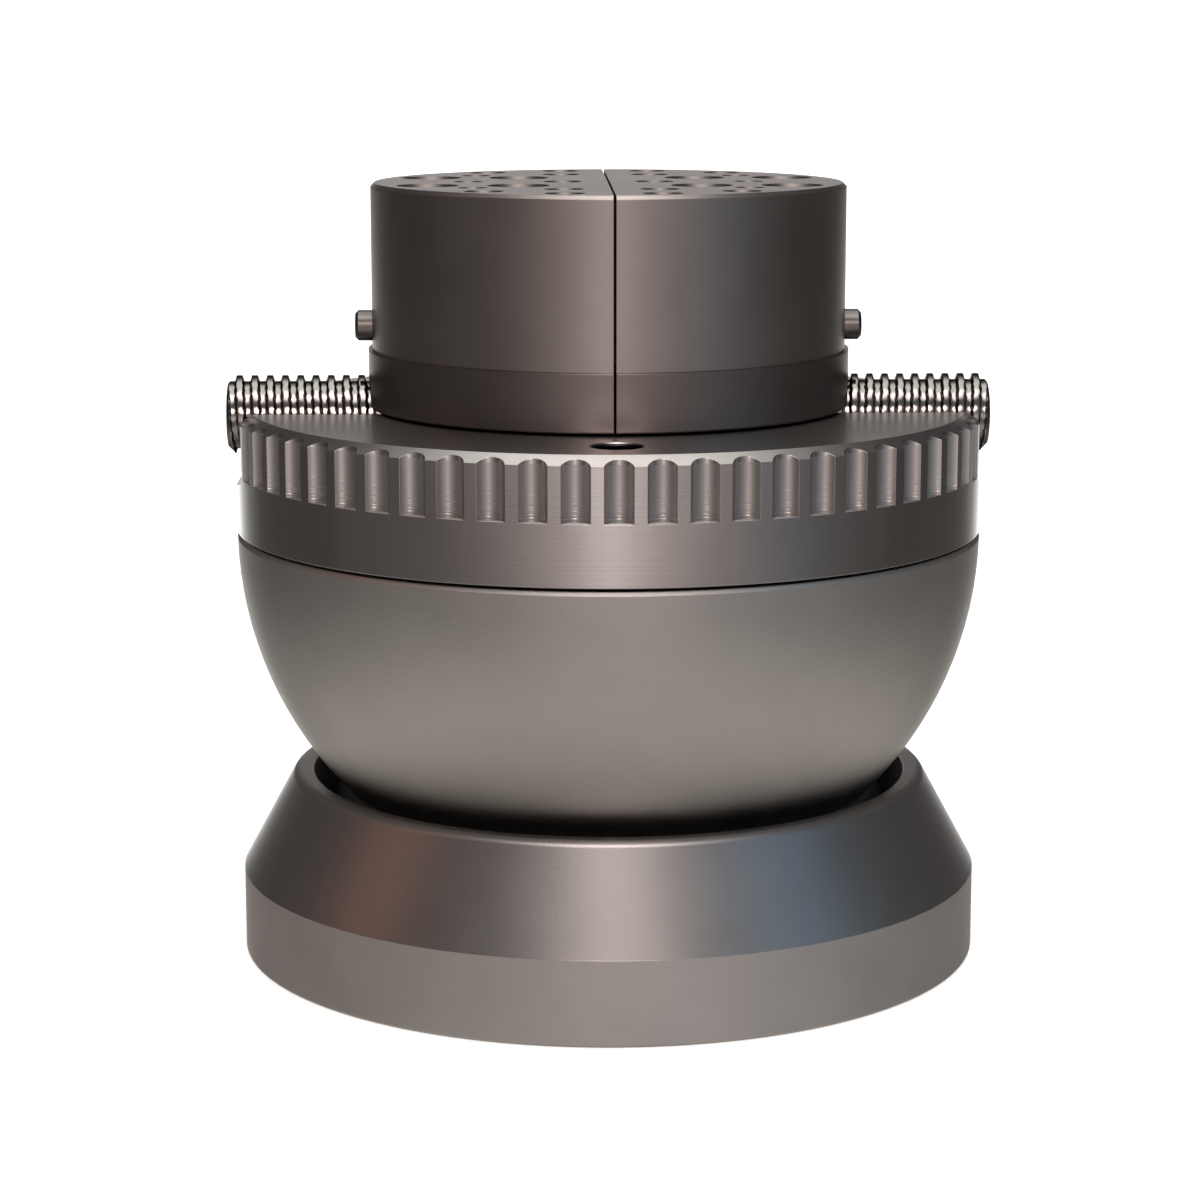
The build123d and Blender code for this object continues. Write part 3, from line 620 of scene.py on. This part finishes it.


# %% [markdown]
# ## Small parts, plastic and rubber
#
# Screws, bearings and nuts are small and mostly hidden, so a plain metal with faint turning marks is
# enough, in the colour of each. The seat ring is plastic and the foot is rubber: no metals, with a
# faint moulded grain. The seat ring is made nearly black, as painted shade in the gap under the ball.


# %% Plain metals and mouldings
def plain_steel(name, colour, roughness):
    """Fasteners and bearing parts."""
    metal, tree, shader = new_metal(name, colour, roughness, cloud=6 * MM)
    relief(tree, shader, [(turning_marks(tree, 0.4 * MM), 3 * MICRON)], edge=0.08 * MM)
    return metal


def moulded(name, colour, roughness):
    """Plastic and rubber: not a metal, with a faint moulded grain."""
    skin, tree, shader = new_metal(name, colour, roughness, spread=0.08, cloud=8 * MM, metallic=0.0)
    relief(tree, shader, [(grain(tree, 0.5 * MM), 20 * MICRON)])
    return skin


finishes = {
    "base_steel": satin_steel(),
    "ball_steel": blasted_steel(),
    "head_steel": turned_steel(),
    "jaw_steel": dark_steel("dark_jaw_steel", (0.35, 0.32, 0.305), (0.29, 0.35)),
    "bright_chrome": chrome(),
    "set_screw_steel": plain_steel("plated_set_screw", (0.17, 0.165, 0.16), (0.32, 0.42)),
    "bearing_steel": plain_steel("polished_bearing_steel", (0.62, 0.61, 0.60), (0.10, 0.16)),
    "ground_steel": plain_steel("ground_steel", (0.50, 0.49, 0.48), (0.28, 0.36)),
    "black_steel": plain_steel("black_screw_steel", (0.06, 0.06, 0.065), (0.30, 0.42)),
    "bronze": plain_steel("nut_bronze", (0.60, 0.38, 0.17), (0.25, 0.36)),
    # The seat ring's near-black colour is painted shade for the gap between the ball and the base.
    "seat_plastic": moulded("seat_plastic_painted_shade", (0.03, 0.03, 0.03), (0.40, 0.50)),
    "rubber": moulded("foot_rubber", (0.02, 0.02, 0.021), (0.6, 0.75)),
}
print("finishes:", ", ".join(finishes))

# %% [markdown]
# ## Paint the CAD pieces
#
# Each CAD piece carries the name of its finish. The piece keeps its mesh and only gets the new
# material in its slot. The carriages are a darker steel than the jaws above them, and the brake screw
# is black, so these three have a finish of their own.


# %% Assign the finishes
OWN_FINISHES = {name: dark_steel("dark_carriage_steel", (0.225, 0.20, 0.19), (0.30, 0.36))
                for name in ("left_jaw_carriage", "right_jaw_carriage")}
OWN_FINISHES["brake_screw"] = finishes["black_steel"]


def paint_nodes():
    """Swap every CAD piece's plain material for its own finish, or the one of the same name."""
    for name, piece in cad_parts.items():
        for slot in piece.material_slots:
            slot.material = OWN_FINISHES.get(name) or finishes[slot.material.name.split(".")[0]]


paint_nodes()
print("painted", len(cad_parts), "CAD pieces")

# %% [markdown]
# ## The base ring
#
# The base is turned from one bar, so it is a profile carried round the axis: a flat foot, an upright
# band, a sloping shoulder, a rounded rim and the bowl inside. On the real one every corner is broken
# by a small round, and these catch the light as thin bright lines. A profile with a tangent arc in
# each corner shows them, which a hard edge can't.


# %% Round the corners of a profile
def rounded(corners, steps=6):
    """Replace each corner (radius, height, round) by an arc tangent to both its sides.

    The arc starts and ends round / tan(half the angle between the sides) from the corner.
    """
    points = [np.array(corners[0][:2])]
    for before, corner, after in zip(corners, corners[1:], corners[2:]):
        place, size = np.array(corner[:2]), corner[2]
        back = np.array(before[:2]) - place
        ahead = np.array(after[:2]) - place
        back, ahead = back / np.linalg.norm(back), ahead / np.linalg.norm(ahead)
        half = math.acos(np.clip(back @ ahead, -1, 1)) / 2
        share = np.linspace(0, 1, steps)[:, None]
        centre = place + (back + ahead) / np.linalg.norm(back + ahead) * size / math.sin(half)
        start, end = place + back * size / math.tan(half), place + ahead * size / math.tan(half)
        arm, last = start - centre, end - centre
        turn = math.acos(np.clip(arm @ last / size ** 2, -1, 1))
        arc = (np.sin((1 - share) * turn) * arm + np.sin(share * turn) * last) / math.sin(turn)
        points.extend(centre + arc)
    points.append(np.array(corners[-1][:2]))
    return np.array(points)


# %% Sizes of the base ring
base_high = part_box("base_ring")[1]
ball_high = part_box("ball")[1]
BASE_RADIUS = base_high.x
RIM_HEIGHT = base_high.z
BALL_RADIUS = ball_high.x
BALL_CENTRE = ball_high.z
RIM_WIDTH = 2.22 * MM
RIM_ROUND = 1.5 * MM
FOOT_ROUND = 0.45 * MM
EDGE_ROUND = 0.3 * MM
FINE_ROUND = 0.08 * MM
BOWL_GAP = 2.1 * MM
GROOVE_DEPTH = 1.5 * MM
GROOVE_UPPER, GROOVE_LOWER = 46.0, 32.0
PAD_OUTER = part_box("base_pad")[1].x
PAD_INNER = 28.0 * MM
PAD_DEPTH = 1.2 * MM
BOWL_RADIUS = BALL_RADIUS + BOWL_GAP
GROOVE_RADIUS = BOWL_RADIUS + GROOVE_DEPTH
MOUTH_RADIUS = math.sqrt(BOWL_RADIUS ** 2 - (BALL_CENTRE - RIM_HEIGHT) ** 2)
MOUTH_ANGLE = math.degrees(math.asin(MOUTH_RADIUS / BOWL_RADIUS))
MOUTH_SPAN = 1.5
CORNER_SPAN, CORNER_GAP = 0.5, 0.1
BOWL_STEPS, GROOVE_STEPS, BOTTOM_STEPS = 12, 14, 24
BASE_TURNS = 360
print(f"bowl's mouth: radius {MOUTH_RADIUS / MM:.1f} mm, {MOUTH_ANGLE:.1f} degrees from straight down")


# %% Make the base ring
def on_sphere(radius, degrees):
    """The (radius, height) of points about the ball's centre, by their angle from straight down."""
    turn = np.radians(degrees)
    return np.stack([radius * np.sin(turn), BALL_CENTRE - radius * np.cos(turn)], axis=-1)


def outside_profile():
    """From the middle of the foot over the pad's groove, the band and the shoulder into the bowl."""
    return rounded([
        (0, 0), (PAD_INNER, 0, FINE_ROUND), (PAD_INNER, PAD_DEPTH, FINE_ROUND),
        (PAD_OUTER, PAD_DEPTH, FINE_ROUND), (PAD_OUTER, 0, FINE_ROUND), (BASE_RADIUS, 0, FOOT_ROUND),
        (BASE_RADIUS, BAND_HEIGHT, EDGE_ROUND), (MOUTH_RADIUS + RIM_WIDTH, RIM_HEIGHT, RIM_ROUND),
        (MOUTH_RADIUS, RIM_HEIGHT, EDGE_ROUND), on_sphere(BOWL_RADIUS, MOUTH_ANGLE - MOUTH_SPAN)])


def groove_side(angle, radius, next_radius, reach):
    """The square step between two radii at an angle, reaching a little along the sphere each way."""
    return rounded([
        on_sphere(radius, angle + reach), (*on_sphere(radius, angle), FINE_ROUND),
        (*on_sphere(next_radius, angle), FINE_ROUND), on_sphere(next_radius, angle - CORNER_SPAN)])


def bowl_profile():
    """Down the bowl, through the groove that holds the seat ring, and on to the bottom."""
    run = CORNER_SPAN + CORNER_GAP
    return np.concatenate([
        on_sphere(BOWL_RADIUS, np.linspace(MOUTH_ANGLE - MOUTH_SPAN - CORNER_SPAN,
                                           GROOVE_UPPER + CORNER_SPAN, BOWL_STEPS)),
        groove_side(GROOVE_UPPER, BOWL_RADIUS, GROOVE_RADIUS, CORNER_SPAN - CORNER_GAP),
        on_sphere(GROOVE_RADIUS, np.linspace(GROOVE_UPPER - run, GROOVE_LOWER + run, GROOVE_STEPS)),
        groove_side(GROOVE_LOWER, GROOVE_RADIUS, BOWL_RADIUS, CORNER_SPAN),
        on_sphere(BOWL_RADIUS, np.linspace(GROOVE_LOWER - run, 0, BOTTOM_STEPS))])


def make_base_ring():
    """The whole turned profile, from the middle of the foot round the outside to the bowl's bottom."""
    profile = np.concatenate([outside_profile(), bowl_profile()])
    mesh = revolved_mesh("turned_base_ring", profile, BASE_TURNS)
    mesh.materials.append(finishes["base_steel"])
    piece = bpy.data.objects.new("turned_base_ring", mesh)
    bpy.context.scene.collection.objects.link(piece)
    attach(piece, "base")
    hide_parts("base_ring")
    return piece


base_ring = make_base_ring()
print("base ring faces:", len(base_ring.data.polygons))

# %% [markdown]
# ## The lead screw
#
# The screw has a right-hand thread at the left and a left-hand one at the right, so one turn moves
# both jaws alike. The CAD model shows the thread as plain ridges. Here the true helix is a formula:
# the radius depends on how far along the screw and how far round it a point is. One grid of points
# runs from the bottom of one key hole over the whole outside to the bottom of the other.

# %% Sizes of the lead screw
screw_low, screw_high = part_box("lead_screw")
SCREW_END = screw_high.x
SCREW_RADIUS = (screw_high.z - screw_low.z) / 2
SCREW_HEIGHT = (screw_high.z + screw_low.z) / 2
PITCH = 2.0 * MM
THREAD_DEPTH = 0.76 * MM
THREAD_CROWN = 0.025 * MM
FLANK_MIDDLE, FLANK_LENGTH = 0.48, 0.30
TIP = 1.0 * MM
JOURNAL_RADIUS, JOURNAL_END = 3.5 * MM, 2.05 * MM
COLLAR_END = 3.6 * MM
KEY_WIDTH, KEY_DEPTH = 5.0 * MM, 6.0 * MM
COLUMNS = 72
STEP = 0.11 * MM
SHARP_ANGLE = math.radians(40)


# %% Make the lead screw
def screw_radius_at(x, angle):
    """Wide crests and roots with steep flanks between them, all a little crowned, cut by the tip's cone.

    The turn and the distance give the place in one pitch: 0 in the middle of a root, 1 on a crest.
    A flank rises as 3 f^2 - 2 f^3, where f goes from 0 to 1 over its length.
    """
    away = np.abs(x)
    hand = np.where(x < 0, -1.0, 1.0)
    phase = (away + angle * PITCH / (2 * np.pi)) / PITCH * hand
    place = 1 - np.abs(2 * (phase % 1) - 1)
    flank = np.clip((place - FLANK_MIDDLE) / FLANK_LENGTH + 0.5, 0, 1)
    wave = flank * flank * (3 - 2 * flank)
    drop = THREAD_DEPTH * (1 - wave) + THREAD_CROWN * (1 + np.cos(np.pi * place)) / 2
    radius = SCREW_RADIUS - drop * np.clip((away - COLLAR_END) / PITCH, 0, 1)
    radius = np.where(away < COLLAR_END, SCREW_RADIUS, radius)
    radius = np.where(away < JOURNAL_END, JOURNAL_RADIUS, radius)
    return np.minimum(radius, SCREW_RADIUS - TIP + (SCREW_END - away))


def hexagon_radius(angle, width):
    """Distance from the middle of a hexagon to its edge: half the width over cos of the turn."""
    sixth = np.pi / 3
    return width / 2 / np.cos((angle + sixth / 2) % sixth - sixth / 2)


def make_lead_screw():
    """One grid round X: the left key hole, the outside with its threads, and the right key hole."""
    angle = np.linspace(0, 2 * np.pi, COLUMNS, endpoint=False)
    rows = int(round(2 * SCREW_END / STEP)) | 1
    x = np.linspace(-SCREW_END, SCREW_END, rows)[:, None]
    radius = screw_radius_at(x, angle[None, :])
    key = hexagon_radius(angle, KEY_WIDTH)[None, :]
    floor_x = SCREW_END - KEY_DEPTH
    x = np.concatenate([[[-floor_x], [-floor_x], [-SCREW_END]], x, [[SCREW_END], [floor_x], [floor_x]]])
    radius = np.concatenate([0 * key, key, key, radius, key, key, 0 * key])
    points = np.stack([np.broadcast_to(x, radius.shape), radius * np.cos(angle),
                       SCREW_HEIGHT + radius * np.sin(angle)], axis=-1)
    mesh = grid_mesh("helical_lead_screw", points)
    mesh.set_sharp_from_angle(angle=SHARP_ANGLE)
    mesh.materials.append(finishes["bright_chrome"])
    piece = bpy.data.objects.new("helical_lead_screw", mesh)
    bpy.context.scene.collection.objects.link(piece)
    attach(piece, "lead_screw")
    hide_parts("lead_screw")
    return piece


lead_screw = make_lead_screw()
print("lead screw faces:", len(lead_screw.data.polygons))
